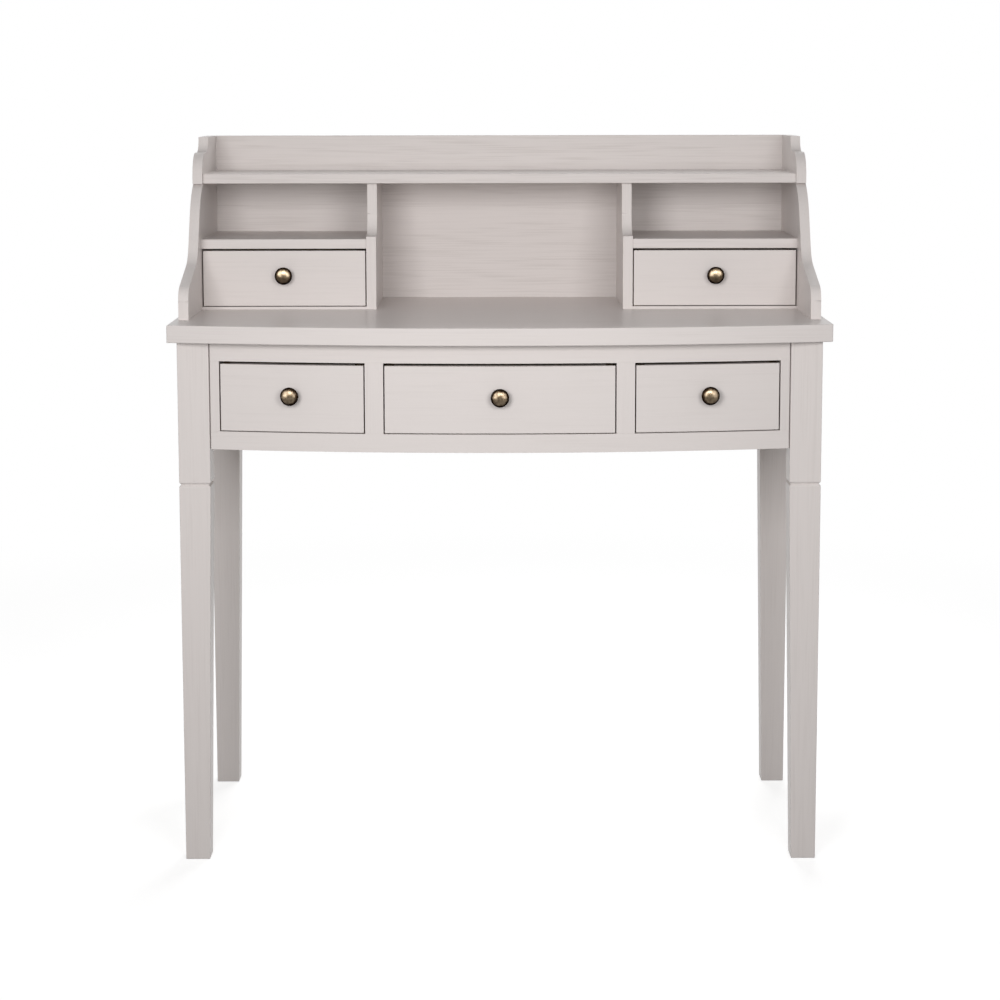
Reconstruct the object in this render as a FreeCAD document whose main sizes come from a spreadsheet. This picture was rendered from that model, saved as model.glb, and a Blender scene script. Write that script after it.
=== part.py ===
# Bow-front writing desk with a low hutch: every board, drawer, knob and screw at its real size.
# Millimetres. +Z is up, the front faces -Y, and the origin is on the floor under the middle of the desk.
# Left and right are as seen from the front, so the left side is at -X.

import FreeCAD, Part
import math
import os
import re

import Sketcher

# Driving sizes
SIZES = {
    # Desk top
    "top_width": 900,
    "top_depth": 500,
    "top_thickness": 24,
    "desk_height": 748,
    "front_bow": 50,
    "side_overhang": 12,
    "front_overhang": 25,
    "back_overhang": 25,
    # Legs: square above the groove, tapered on the two inner faces below it
    "leg_size": 43,
    "leg_proud": 2,
    "foot_width": 33.5,
    "foot_depth": 34,
    "groove_drop": 49,
    "groove_height": 5,
    "groove_depth": 2.8,
    # Aprons and the bowed front frame
    "apron_height": 147,
    "apron_thickness": 18,
    "apron_setback": 3,
    "frame_thickness": 20,
    "top_rail_height": 26,
    "bottom_rail_height": 25,
    "stile_width": 14,
    "muntin_width": 25,
    "quirk_width": 1.5,
    "quirk_depth": 5,
    "middle_opening_width": 314,
    "tenon_length": 12,
    "tenon_thickness": 8,
    "tenon_shoulder": 5,
    "stub_tenon_length": 9,
    "stub_tenon_shoulder": 3,
    # Strips that carry, guide and hold down the desk drawers
    "runner_thickness": 18,
    "runner_bearing": 16,
    "guide_height": 22,
    # Drawers
    "side_gap": 1.6,
    "desk_top_gap": 3.6,
    "hutch_top_gap": 2.8,
    "bottom_gap": 1.2,
    "running_clearance": 0.3,
    "front_thickness": 18,
    "front_lap": 8,
    "drawer_side_thickness": 12,
    "drawer_headroom": 6,
    "drawer_bottom_thickness": 4,
    "drawer_bottom_lift": 8,
    "drawer_bottom_bite": 5,
    # Hutch
    "hutch_height": 246,
    "hutch_inset": 7,
    "hutch_back_inset": 4,
    "hutch_board": 14,
    "hutch_depth": 202,
    "back_panel_thickness": 10,
    "back_panel_rabbet": 7,
    "housing_depth": 5,
    "housing_stop": 12,
    "centre_bay_width": 356,
    "drawer_floor_thickness": 4,
    "hutch_opening_height": 83.5,
    "gallery_height": 66,
    "top_shelf_setback": 9,
    # Dividers: a square lower half, a small step, then a cove in a share of the height that is left
    "divider_lip": 3.5,
    "divider_step": 8,
    "divider_cove_share": 0.427,
    # Hutch sides: a round toe, a ramp, a cove, a straight rise, a crown, then the gallery's nose and cove.
    # The scroll's cove and crown have radii that are shares of the height under the top shelf.
    "side_depth": 372,
    "toe_height": 24,
    "toe_radius": 22,
    "ramp_angle": 17,
    "cove_share": 0.278,
    "rise_angle": 63,
    "crown_share": 0.544,
    "crown_angle": 25,
    "crown_setback": 7,
    "nose_setback": 181,
    "nose_height": 13,
    "nose_run": 40,
    "nose_radius": 36,
    "gallery_flat": 17,
    "gallery_cove": 22,
    # Knobs and their screws
    "knob_radius": 12.5,
    "knob_length": 24,
    "knob_dome": 9,
    "knob_rim": 3,
    "knob_neck_radius": 5.5,
    "knob_foot_radius": 8,
    "knob_foot_height": 3,
    "knob_rise": 4.5,
    "knob_screw_bite": 11,
    "thread_clearance": 0.1,
    "knob_screw_radius": 2,
    "knob_screw_head_radius": 4,
    "knob_screw_head_height": 2.5,
    # Wood screws
    "screw_radius": 2,
    "screw_head_radius": 4,
    "screw_head_height": 2.4,
    "top_screw_length": 40,
    "hutch_screw_length": 46,
    "panel_screw_length": 30,
    "screw_end_distance": 60,
    "divider_screw_end_distance": 40,
    "panel_screw_spacing": 300,
}

# Places worked out from the driving sizes
PLACES = {
    # Planes of the desk from front to back
    "back_y": "(top_depth + max(0; knob_length - front_overhang)) / 2",
    "front_y": "back_y - top_depth",
    "top_radius": "((top_width / 2) ^ 2 + front_bow ^ 2) / (2 * front_bow)",
    "bow_axis_y": "front_y + top_radius",
    "top_corner_y": "front_y + front_bow",
    "frame_radius": "top_radius - front_overhang",
    "frame_front_y": "front_y + front_overhang",
    "leg_outer_x": "top_width / 2 - side_overhang",
    "leg_inner_x": "leg_outer_x - leg_size",
    "leg_front_y": "bow_axis_y - sqrt(frame_radius ^ 2 - leg_inner_x ^ 2) - leg_proud",
    "leg_back_y": "back_y - back_overhang",
    "apron_back_y": "leg_back_y - apron_setback",
    "apron_inner_y": "apron_back_y - apron_thickness",
    "apron_outer_x": "leg_outer_x - apron_setback",
    "apron_inner_x": "apron_outer_x - apron_thickness",
    # Levels of the desk
    "top_under_z": "desk_height - top_thickness",
    "apron_bottom_z": "top_under_z - apron_height",
    "opening_bottom_z": "apron_bottom_z + bottom_rail_height",
    "opening_top_z": "top_under_z - top_rail_height",
    "groove_z": "apron_bottom_z - groove_drop",
    # Edges of the drawer openings
    "opening_outer_x": "leg_inner_x - stile_width",
    "muntin_inner_x": "middle_opening_width / 2",
    "muntin_outer_x": "muntin_inner_x + muntin_width",
    # Hutch planes and levels
    "hutch_outer_x": "top_width / 2 - hutch_inset",
    "hutch_inner_x": "hutch_outer_x - hutch_board",
    "hutch_back_y": "back_y - hutch_back_inset",
    "panel_front_y": "hutch_back_y - back_panel_thickness",
    "hutch_front_y": "panel_front_y - hutch_depth",
    "divider_inner_x": "centre_bay_width / 2",
    "divider_outer_x": "divider_inner_x + hutch_board",
    "floor_top_z": "desk_height + drawer_floor_thickness",
    "shelf_bottom_z": "floor_top_z + hutch_opening_height",
    "shelf_top_z": "shelf_bottom_z + hutch_board",
    "hutch_top_z": "desk_height + hutch_height",
    "top_shelf_bottom_z": "hutch_top_z - gallery_height",
    "top_shelf_top_z": "top_shelf_bottom_z + hutch_board",
    "divider_step_z": "shelf_top_z + divider_lip",
    "divider_cove": "divider_cove_share * (top_shelf_bottom_z - divider_step_z)",
    # The scroll of the hutch sides: the ramp and the rise take up what the rounds leave
    "cove_radius": "cove_share * (top_shelf_bottom_z - desk_height)",
    "crown_radius": "crown_share * (top_shelf_bottom_z - desk_height)",
    "toe_y": "hutch_back_y - side_depth",
    "nose_y": "toe_y + nose_setback",
    "crown_end_y": "nose_y + crown_setback",
    "toe_end_y": "toe_y + toe_radius * (1 - sin(ramp_angle))",
    "toe_end_z": "desk_height + toe_height + toe_radius * cos(ramp_angle)",
    "cove_run": "cove_radius * (sin(rise_angle) - sin(ramp_angle))",
    "cove_climb": "cove_radius * (cos(ramp_angle) - cos(rise_angle))",
    "crown_run": "crown_radius * (sin(rise_angle) - sin(crown_angle))",
    "crown_climb": "crown_radius * (cos(crown_angle) - cos(rise_angle))",
    "straight_run": "crown_end_y - toe_end_y - cove_run - crown_run",
    "straight_climb": "top_shelf_bottom_z - toe_end_z - cove_climb - crown_climb",
    "ramp_length": "(straight_run * sin(rise_angle) - straight_climb * cos(rise_angle))"
    " / sin(rise_angle - ramp_angle)",
    "cove_start_y": "toe_end_y + ramp_length * cos(ramp_angle)",
    "cove_start_z": "toe_end_z + ramp_length * sin(ramp_angle)",
    "cove_end_y": "cove_start_y + cove_run",
    "cove_end_z": "cove_start_z + cove_climb",
    "crown_start_y": "crown_end_y - crown_run",
    "crown_start_z": "top_shelf_bottom_z - crown_climb",
    "gallery_z": "hutch_top_z - gallery_cove",
    "nose_end_y": "nose_y + nose_run",
    "gallery_cove_y": "nose_end_y + gallery_flat",
    # The ball of a knob, centred on its axis, and its screw's seat in the hollow back of a bowed front
    "knob_dome_radius": "(knob_radius ^ 2 + knob_dome ^ 2) / (2 * knob_dome)",
    "knob_seat": "front_thickness + knob_screw_head_radius ^ 2 / (frame_radius - front_thickness)",
}

LEFT = -1
RIGHT = 1
SIDES = (("left", LEFT), ("right", RIGHT))

# Ways round an arc of an outline, going from one corner to the next
LEFT_TURN = 1
RIGHT_TURN = -1

doc = FreeCAD.newDocument("writing_desk")
sizes = doc.addObject("Spreadsheet::Sheet", "sizes")
for row, (alias, number) in enumerate(SIZES.items(), start=1):
    sizes.set(f"A{row}", alias)
    sizes.set(f"B{row}", str(number))
    sizes.setAlias(f"B{row}", alias)
doc.recompute()

HOMES = {name: f"sizes.{name}" for name in SIZES}
HOMES.update({name: f"places.{name}" for name in PLACES})


def formula(text):
    """The text with each named size or place led back to the sheet or the worked-out places."""
    return re.sub(r"[a-z_]+", lambda word: HOMES.get(word[0], word[0]), str(text))


places = doc.addObject("App::VarSet", "places")
for place, text in PLACES.items():
    places.addProperty("App::PropertyFloat", place, "Places")
    places.setExpression(place, formula(text))
doc.recompute()

subparts = []


def value(text):
    return float(places.evalExpression(formula(text)))


def bind(thing, property_name, text):
    thing.setExpression(property_name, formula(text))


def subpart(thing, name):
    """Marks a finished piece, which is written to the file of its name."""
    thing.Label = name
    subparts.append(thing)
    return thing


def on_side(side, near, far):
    """The span in X from near to far on the right, or its mirror image on the left."""
    return (near, far) if side == RIGHT else (f"-({far})", f"-({near})")


def board(name, x, y, z):
    """A square-edged board between three pairs of planes."""
    box = doc.addObject("Part::Box", name)
    for length, axis, (low, high) in zip(("Length", "Width", "Height"), "xyz", (x, y, z)):
        bind(box, length, f"({high}) - ({low})")
        bind(box, f"Placement.Base.{axis}", low)
    return box


def join(name, things):
    fused = doc.addObject("Part::MultiFuse", name)
    fused.Shapes = things
    fused.Refine = True
    return fused


def cut(name, base, tools):
    result = doc.addObject("Part::Cut", name)
    result.Base = base
    result.Tool = tools[0] if len(tools) == 1 else group(f"{name}_cutters", tools)
    return result


def group(name, things):
    compound = doc.addObject("Part::Compound", name)
    compound.Links = things
    return compound


def inside(name, base, limit):
    common = doc.addObject("Part::Common", name)
    common.Base = base
    common.Tool = limit
    return common


# The bow of the front: cylinders about one upright axis, each a depth behind the face of the frame
bow_cylinders = {}


def bow_cylinder(depth):
    if depth not in bow_cylinders:
        cylinder = doc.addObject("Part::Cylinder", "bow")
        bind(cylinder, "Radius", f"frame_radius - ({depth})")
        bind(cylinder, "Height", "apron_height")
        bind(cylinder, "Placement.Base.y", "bow_axis_y")
        bind(cylinder, "Placement.Base.z", "apron_bottom_z")
        bow_cylinders[depth] = cylinder
    return bow_cylinders[depth]


def behind_bow(name, x, z, depth, back):
    """A board that runs from a depth behind the bowed face straight to a plane at the back."""
    return inside(name, board(f"{name}_stock", x, ("frame_front_y", back), z), bow_cylinder(depth))


def bow_layer(name, x, z, near, far):
    """The bowed board between two depths behind the face of the frame."""
    stock = behind_bow(f"{name}_bow", x, z, near, "leg_front_y + leg_size + frame_thickness")
    return cut(name, stock, [bow_cylinder(far)])


def bow_face_y(x):
    return f"bow_axis_y - sqrt(frame_radius ^ 2 - ({x}) ^ 2)"


def outline(body, name, plane, corners, rounds):
    """A closed sketch through corners; rounds gives an edge's radius and whether it turns left or right."""
    sketch = body.newObject("Sketcher::SketchObject", name)
    support = [feature for feature in body.Origin.OriginFeatures if feature.Role == plane]
    sketch.AttachmentSupport = [(support[0], "")]
    sketch.MapMode = "FlatFace"
    points = [FreeCAD.Vector(value(x), value(y), 0) for x, y in corners]
    ends = []
    for edge, start in enumerate(points):
        finish = points[(edge + 1) % len(points)]
        if edge not in rounds:
            sketch.addGeometry(Part.LineSegment(start, finish), False)
            ends.append((1, 2))
            continue
        radius = value(rounds[edge][0])
        turn = rounds[edge][1]
        chord = finish - start
        reach = math.sqrt(radius**2 - (chord.Length / 2) ** 2)
        left = FreeCAD.Vector(-chord.y, chord.x, 0).normalize()
        centre = (start + finish) / 2 + left * reach * turn
        low, high = (start, finish) if turn == LEFT_TURN else (finish, start)
        angles = [math.atan2(point.y - centre.y, point.x - centre.x) for point in (low, high)]
        circle = Part.Circle(centre, FreeCAD.Vector(0, 0, 1), radius)
        sketch.addGeometry(Part.ArcOfCircle(circle, *angles), False)
        ends.append((1, 2) if turn == LEFT_TURN else (2, 1))
    for edge in range(len(points)):
        following = (edge + 1) % len(points)
        joint = Sketcher.Constraint("Coincident", edge, ends[edge][1], following, ends[following][0])
        sketch.addConstraint(joint)
    for edge, (corner, point) in enumerate(zip(corners, points)):
        for kind, text, place, axis in (
            ("DistanceX", corner[0], point.x, -2),
            ("DistanceY", corner[1], point.y, -1),
        ):
            if text == "0":
                sketch.addConstraint(Sketcher.Constraint("PointOnObject", edge, ends[edge][0], axis))
                continue
            number = sketch.addConstraint(Sketcher.Constraint(kind, -1, 1, edge, ends[edge][0], place))
            bind(sketch, f"Constraints[{number}]", text)
    for edge, (text, _) in rounds.items():
        number = sketch.addConstraint(Sketcher.Constraint("Radius", edge, value(text)))
        bind(sketch, f"Constraints[{number}]", text)
    return sketch


def padded(name, plane, corners, rounds, thickness):
    """A board of any outline, sawn from stock of one thickness."""
    body = doc.addObject("PartDesign::Body", name)
    pad = body.newObject("PartDesign::Pad", f"{name}_pad")
    pad.Profile = outline(body, f"{name}_outline", plane, corners, rounds)
    bind(pad, "Length", thickness)
    return body


# Wood screws, with the tip along the local Z axis
UPWARDS = FreeCAD.Rotation()
FORWARDS = FreeCAD.Rotation(FreeCAD.Vector(1, 0, 0), 90)


def screw(name, place, pointing, length):
    """A countersunk screw with its head at a place."""
    head = doc.addObject("Part::Cone", f"{name}_head")
    bind(head, "Radius1", "screw_head_radius")
    bind(head, "Radius2", "screw_radius")
    bind(head, "Height", "screw_head_height")
    shank = doc.addObject("Part::Cylinder", f"{name}_shank")
    bind(shank, "Radius", "screw_radius")
    bind(shank, "Height", length)
    whole = join(name, [head, shank])
    whole.Placement = FreeCAD.Placement(FreeCAD.Vector(), pointing)
    for axis, text in zip("xyz", place):
        bind(whole, f"Placement.Base.{axis}", text)
    return whole


def screw_set(name, spots, pointing, length):
    """All the screws of one kind, which also cut the boards that they go into."""
    screws = [screw(f"{name}_{number}", spot, pointing, length) for number, spot in enumerate(spots)]
    subpart(group(name, screws), name)
    return screws


def tenoned_board(name, x, y, z, tenons):
    return join(name, [board(f"{name}_board", x, y, z)] + tenons)


# Levels of the front frame and the aprons
APRON_Z = ("apron_bottom_z", "top_under_z")
TENON_Z = ("apron_bottom_z + tenon_shoulder", "top_under_z - tenon_shoulder")


# Front frame
def make_quirks():
    """The narrow grooves that part the face of the frame from the two front legs."""
    y = ("frame_front_y", f"{bow_face_y('leg_inner_x')} + quirk_depth")
    return {
        side: board(f"quirk_{word}", on_side(side, "leg_inner_x - quirk_width", "leg_inner_x"), y, APRON_Z)
        for word, side in SIDES
    }


def make_upright(name, side, near, far, grooves):
    """A bowed stile or muntin between the rails, with a stub tenon at each end."""
    x = on_side(side, near, far)
    middle = f"(({near}) + ({far})) / 2"
    tenon_y = f"{bow_face_y(middle)} + frame_thickness / 2"
    body = bow_layer(f"{name}_body", x, ("opening_bottom_z", "opening_top_z"), "0", "frame_thickness")
    tenons = [
        board(
            f"{name}_tenon_{end}",
            on_side(side, f"{near} + stub_tenon_shoulder", f"{far} - stub_tenon_shoulder"),
            (f"{tenon_y} - tenon_thickness / 2", f"{tenon_y} + tenon_thickness / 2"),
            z,
        )
        for end, z in (
            ("low", ("opening_bottom_z - stub_tenon_length", "opening_bottom_z")),
            ("high", ("opening_top_z", "opening_top_z + stub_tenon_length")),
        )
    ]
    whole = join(f"{name}_blank", [body] + tenons)
    return subpart(cut(name, whole, grooves) if grooves else whole, name)


def make_uprights(quirks):
    uprights = []
    for word, side in SIDES:
        stile = make_upright(f"front_stile_{word}", side, "opening_outer_x", "leg_inner_x", [quirks[side]])
        muntin = make_upright(f"front_muntin_{word}", side, "muntin_inner_x", "muntin_outer_x", [])
        uprights += [stile, muntin]
    return uprights


def make_rail(name, low, high, cutters):
    """A bowed rail tenoned into the front legs, mortised for the uprights and grooved beside the legs."""
    body = bow_layer(f"{name}_body", ("-leg_inner_x", "leg_inner_x"), (low, high), "0", "frame_thickness")
    tenon_y = "leg_front_y + leg_proud + frame_thickness / 2"
    tenons = [
        board(
            f"{name}_tenon_{word}",
            on_side(side, "leg_inner_x", "leg_inner_x + tenon_length"),
            (f"{tenon_y} - tenon_thickness / 2", f"{tenon_y} + tenon_thickness / 2"),
            (f"{low} + tenon_shoulder", f"{high} - tenon_shoulder"),
        )
        for word, side in SIDES
    ]
    return subpart(cut(name, join(f"{name}_blank", [body] + tenons), cutters), name)


# Aprons
def make_side_apron(word, side):
    name = f"side_apron_{word}"
    front, back = "leg_front_y + leg_size", "leg_back_y - leg_size"
    middle = "(apron_inner_x + apron_outer_x) / 2"
    tenon_x = on_side(side, f"{middle} - tenon_thickness / 2", f"{middle} + tenon_thickness / 2")
    tenons = [
        board(f"{name}_tenon_front", tenon_x, (f"{front} - tenon_length", front), TENON_Z),
        board(f"{name}_tenon_back", tenon_x, (back, f"{back} + tenon_length"), TENON_Z),
    ]
    x = on_side(side, "apron_inner_x", "apron_outer_x")
    return subpart(tenoned_board(name, x, (front, back), APRON_Z, tenons), name)


def make_back_apron():
    name = "back_apron"
    middle = "(apron_inner_y + apron_back_y) / 2"
    tenon_y = (f"{middle} - tenon_thickness / 2", f"{middle} + tenon_thickness / 2")
    tenons = [
        board(
            f"{name}_tenon_{word}",
            on_side(side, "leg_inner_x", "leg_inner_x + tenon_length"),
            tenon_y,
            TENON_Z,
        )
        for word, side in SIDES
    ]
    x, y = ("-leg_inner_x", "leg_inner_x"), ("apron_inner_y", "apron_back_y")
    return subpart(tenoned_board(name, x, y, APRON_Z, tenons), name)


# Legs
def leg_section(body, name, side, inwards, height, width, depth, inset):
    """One level of a leg, square to its outer corner, where inwards is the way to the desk's middle in Y."""
    near_x, far_x = f"{-side} * ({inset})", f"{-side} * ({width} - ({inset}))"
    near_y, far_y = f"{inwards} * ({inset})", f"{inwards} * ({depth} - ({inset}))"
    if inset == "0":
        near_x = near_y = "0"
    corners = [(near_x, near_y), (far_x, near_y), (far_x, far_y), (near_x, far_y)]
    section = outline(body, name, "XY_Plane", corners, {})
    bind(section, "AttachmentOffset.Base.z", height)
    return section


def make_leg(end, word, side, fitted):
    """A leg with its V-groove, mortised for the rails and aprons that fit into it."""
    name = f"leg_{end}_{word}"
    inwards = 1 if end == "front" else -1
    body = doc.addObject("PartDesign::Body", f"{name}_body")
    bind(body, "Placement.Base.x", f"{side} * leg_outer_x")
    bind(body, "Placement.Base.y", "leg_front_y" if end == "front" else "leg_back_y")
    levels = (
        ("foot", "0", "foot_width", "foot_depth", "0"),
        ("groove_low", "groove_z - groove_height / 2", "leg_size", "leg_size", "0"),
        ("groove", "groove_z", "leg_size", "leg_size", "groove_depth"),
        ("groove_high", "groove_z + groove_height / 2", "leg_size", "leg_size", "0"),
        ("top", "top_under_z", "leg_size", "leg_size", "0"),
    )
    sections = [
        leg_section(body, f"{name}_{level}", side, inwards, *measures) for level, *measures in levels
    ]
    loft = body.newObject("PartDesign::AdditiveLoft", f"{name}_loft")
    loft.Profile = sections[0]
    loft.Sections = sections[1:]
    loft.Ruled = True
    return subpart(cut(name, body, fitted), name)


# Strips under and over the desk drawers
def strip_spans():
    """Each strip's span in X, with the guide's narrower span on it."""
    outer = ("opening_outer_x - runner_bearing", "leg_inner_x")
    outer_guide = ("opening_outer_x - side_gap + running_clearance", "leg_inner_x")
    inner = ("muntin_inner_x - runner_bearing", "muntin_outer_x + runner_bearing")
    inner_guide = (
        "muntin_inner_x - side_gap + running_clearance",
        "muntin_outer_x + side_gap - running_clearance",
    )
    for word, side in SIDES:
        yield f"{word}_outer", on_side(side, *outer), on_side(side, *outer_guide)
        yield f"{word}_inner", on_side(side, *inner), on_side(side, *inner_guide)


def make_strips():
    """Runners, guides and kickers from the front frame to the back apron, and the screws up into the top."""
    runners, guides, kickers, spots = [], [], [], []
    for name, x, guide_x in strip_spans():
        levels = ("opening_bottom_z - runner_thickness", "opening_bottom_z")
        runners.append(behind_bow(f"runner_{name}", x, levels, "frame_thickness", "apron_inner_y"))
        levels = ("opening_bottom_z", "opening_bottom_z + guide_height")
        guides.append(behind_bow(f"guide_{name}", guide_x, levels, "frame_thickness", "apron_inner_y"))
        levels = ("opening_top_z", "top_under_z")
        kickers.append(behind_bow(f"kicker_{name}", x, levels, "frame_thickness", "apron_inner_y"))
        middle = f"({x[0]} + {x[1]}) / 2"
        for y in ("leg_front_y + screw_end_distance", "apron_inner_y - screw_end_distance"):
            spots.append((middle, y, "opening_top_z"))
    subpart(group("drawer_runners", runners), "drawer_runners")
    subpart(group("drawer_guides", guides), "drawer_guides")
    screws = screw_set("top_screws", spots, UPWARDS, "top_screw_length")
    drilled = [cut(f"drilled_{number}", kicker, screws) for number, kicker in enumerate(kickers)]
    subpart(group("drawer_kickers", drilled), "drawer_kickers")
    return screws


# Hutch
def hutch_screw_spots():
    """Screws up through the desk top into the feet of the hutch sides and dividers."""
    for word, side in SIDES:
        for y in ("toe_y + screw_end_distance", "panel_front_y - screw_end_distance"):
            yield f"{side} * (hutch_outer_x - hutch_board / 2)", y, "top_under_z"
        for y in ("hutch_front_y + divider_screw_end_distance", "panel_front_y - divider_screw_end_distance"):
            yield f"{side} * (divider_inner_x + hutch_board / 2)", y, "top_under_z"


def panel_screw_spots():
    """Screws through the back panel into the dividers and the top shelf."""
    shelf_z = "top_shelf_bottom_z + hutch_board / 2"
    for x in ("-panel_screw_spacing", "0", "panel_screw_spacing"):
        yield x, "hutch_back_y", shelf_z
    for word, side in SIDES:
        for z in ("desk_height + divider_screw_end_distance", "shelf_top_z + divider_screw_end_distance"):
            yield f"{side} * (divider_inner_x + hutch_board / 2)", "hutch_back_y", z


def make_desk_top(screws):
    corners = [
        ("-top_width / 2", "back_y"),
        ("-top_width / 2", "top_corner_y"),
        ("top_width / 2", "top_corner_y"),
        ("top_width / 2", "back_y"),
    ]
    slab = padded("desk_top_slab", "XY_Plane", corners, {1: ("top_radius", LEFT_TURN)}, "top_thickness")
    bind(slab, "Placement.Base.z", "top_under_z")
    return subpart(cut("desk_top", slab, screws), "desk_top")


def make_hutch_side(word, side, fitted):
    """A scrolled side, housed for the shelves and rabbeted for the back panel."""
    corners = [
        ("hutch_back_y", "desk_height"),
        ("toe_y", "desk_height"),
        ("toe_y", "desk_height + toe_height"),
        ("toe_end_y", "toe_end_z"),
        ("cove_start_y", "cove_start_z"),
        ("cove_end_y", "cove_end_z"),
        ("crown_start_y", "crown_start_z"),
        ("crown_end_y", "top_shelf_bottom_z"),
        ("nose_y", "top_shelf_bottom_z"),
        ("nose_y", "top_shelf_bottom_z + nose_height"),
        ("nose_end_y", "gallery_z"),
        ("gallery_cove_y", "gallery_z"),
        ("gallery_cove_y + gallery_cove", "hutch_top_z"),
        ("hutch_back_y", "hutch_top_z"),
    ]
    rounds = {
        2: ("toe_radius", RIGHT_TURN),
        4: ("cove_radius", LEFT_TURN),
        6: ("crown_radius", RIGHT_TURN),
        9: ("nose_radius", RIGHT_TURN),
        11: ("gallery_cove", LEFT_TURN),
    }
    name = f"hutch_side_{word}"
    stock = padded(f"{name}_stock", "YZ_Plane", corners, rounds, "hutch_board")
    bind(stock, "Placement.Base.x", on_side(side, "hutch_inner_x", "hutch_outer_x")[0])
    return subpart(cut(name, stock, fitted), name)


def make_divider(word, side, fitted):
    """A divider whose front steps back above the small shelf and sweeps up to the top shelf."""
    cove_y = "hutch_front_y + divider_step"
    top_z = "top_shelf_bottom_z + housing_depth"
    corners = [
        ("panel_front_y", "desk_height"),
        ("hutch_front_y", "desk_height"),
        ("hutch_front_y", "divider_step_z"),
        (cove_y, "divider_step_z"),
        (f"{cove_y} + divider_cove", "divider_step_z + divider_cove"),
        (f"{cove_y} + divider_cove", top_z),
        ("panel_front_y", top_z),
    ]
    name = f"hutch_divider_{word}"
    stock = padded(f"{name}_stock", "YZ_Plane", corners, {3: ("divider_cove", LEFT_TURN)}, "hutch_board")
    bind(stock, "Placement.Base.x", on_side(side, "divider_inner_x", "divider_outer_x")[0])
    return subpart(cut(name, stock, fitted), name)


def make_small_shelf(word, side):
    """A shelf over a small drawer, notched where its housing in the divider stops short of the front."""
    name = f"hutch_shelf_{word}"
    z = ("shelf_bottom_z", "shelf_top_z")
    x = on_side(side, "divider_outer_x - housing_depth", "hutch_inner_x + housing_depth")
    blank = board(f"{name}_blank", x, ("hutch_front_y", "panel_front_y"), z)
    x = on_side(side, "divider_outer_x - housing_depth", "divider_outer_x")
    notch = board(f"{name}_notch", x, ("hutch_front_y", "hutch_front_y + housing_stop"), z)
    return subpart(cut(name, blank, [notch]), name)


def make_hutch(top_screws):
    """The hutch from its back panel forwards, then the desk top that it stands on."""
    hutch_screws = screw_set("hutch_screws", list(hutch_screw_spots()), UPWARDS, "hutch_screw_length")
    panel_screws = screw_set("back_panel_screws", list(panel_screw_spots()), FORWARDS, "panel_screw_length")
    panel_x = "hutch_inner_x + back_panel_rabbet"
    blank = board(
        "back_panel_blank",
        (f"-({panel_x})", panel_x),
        ("panel_front_y", "hutch_back_y"),
        ("desk_height", "hutch_top_z"),
    )
    subpart(cut("hutch_back_panel", blank, panel_screws), "hutch_back_panel")
    shelves = []
    for word, side in SIDES:
        shelves.append(make_small_shelf(word, side))
        x = on_side(side, "divider_outer_x", "hutch_inner_x")
        name = f"hutch_drawer_floor_{word}"
        subpart(board(name, x, ("hutch_front_y", "panel_front_y"), ("desk_height", "floor_top_z")), name)
    fitted = shelves + hutch_screws + panel_screws
    dividers = [make_divider(word, side, fitted) for word, side in SIDES]
    shelf_x = "hutch_inner_x + housing_depth"
    shelf_y = ("nose_y + top_shelf_setback", "panel_front_y")
    shelf_z = ("top_shelf_bottom_z", "top_shelf_top_z")
    long_blank = board("top_shelf_blank", (f"-({shelf_x})", shelf_x), shelf_y, shelf_z)
    top_shelf = subpart(cut("hutch_top_shelf", long_blank, dividers + panel_screws), "hutch_top_shelf")
    for word, side in SIDES:
        make_hutch_side(word, side, [blank, top_shelf] + shelves + hutch_screws)
    make_desk_top(top_screws + hutch_screws)


# Knobs
def make_knob(name, place, angle):
    """A turned knob square to the drawer's face; returns its screw, which comes from inside the drawer."""
    rim_y = "-(knob_length - knob_dome)"
    neck_y = "-(knob_length - knob_dome - 2 * knob_rim)"
    bore = "knob_screw_radius + thread_clearance"
    bore_end = "-(knob_screw_bite + thread_clearance)"
    corners = [
        ("0", "-knob_length"),
        ("knob_radius", rim_y),
        ("knob_radius - knob_rim", f"{rim_y} + knob_rim"),
        ("knob_neck_radius", neck_y),
        ("knob_neck_radius", "-knob_foot_height"),
        ("knob_foot_radius", "-knob_foot_height / 3"),
        ("knob_foot_radius", "0"),
        (bore, "0"),
        (bore, bore_end),
        ("0", bore_end),
    ]
    rounds = {0: ("knob_dome_radius", LEFT_TURN), 1: ("knob_rim", LEFT_TURN)}
    body = doc.addObject("PartDesign::Body", f"{name}_turning")
    turning = body.newObject("PartDesign::Revolution", f"{name}_revolution")
    profile = outline(body, f"{name}_profile", "XY_Plane", corners, rounds)
    turning.Profile = profile
    turning.ReferenceAxis = (profile, ["V_Axis"])
    turning.Angle = 360

    def rod(part, radius, start, end):
        """A cylinder along the knob's axis, from start to end behind the drawer's face."""
        cylinder = doc.addObject("Part::Cylinder", f"{name}_{part}")
        bind(cylinder, "Radius", radius)
        bind(cylinder, "Height", f"({end}) - ({start})")
        cylinder.Placement = FreeCAD.Placement(FreeCAD.Vector(), FORWARDS)
        bind(cylinder, "Placement.Base.y", end)
        return cylinder

    shank = rod("shank", "knob_screw_radius", "-knob_screw_bite", "knob_seat")
    head = rod("head", "knob_screw_head_radius", "knob_seat", "knob_seat + knob_screw_head_height")
    knob_screw = join(f"{name}_screw", [shank, head])
    for thing in (body, knob_screw):
        for axis, text in zip("xyz", place):
            bind(thing, f"Placement.Base.{axis}", text)
        bind(thing, "Placement.Rotation.Angle", angle)
    subpart(group(name, [body, knob_screw]), name)
    return knob_screw


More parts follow.
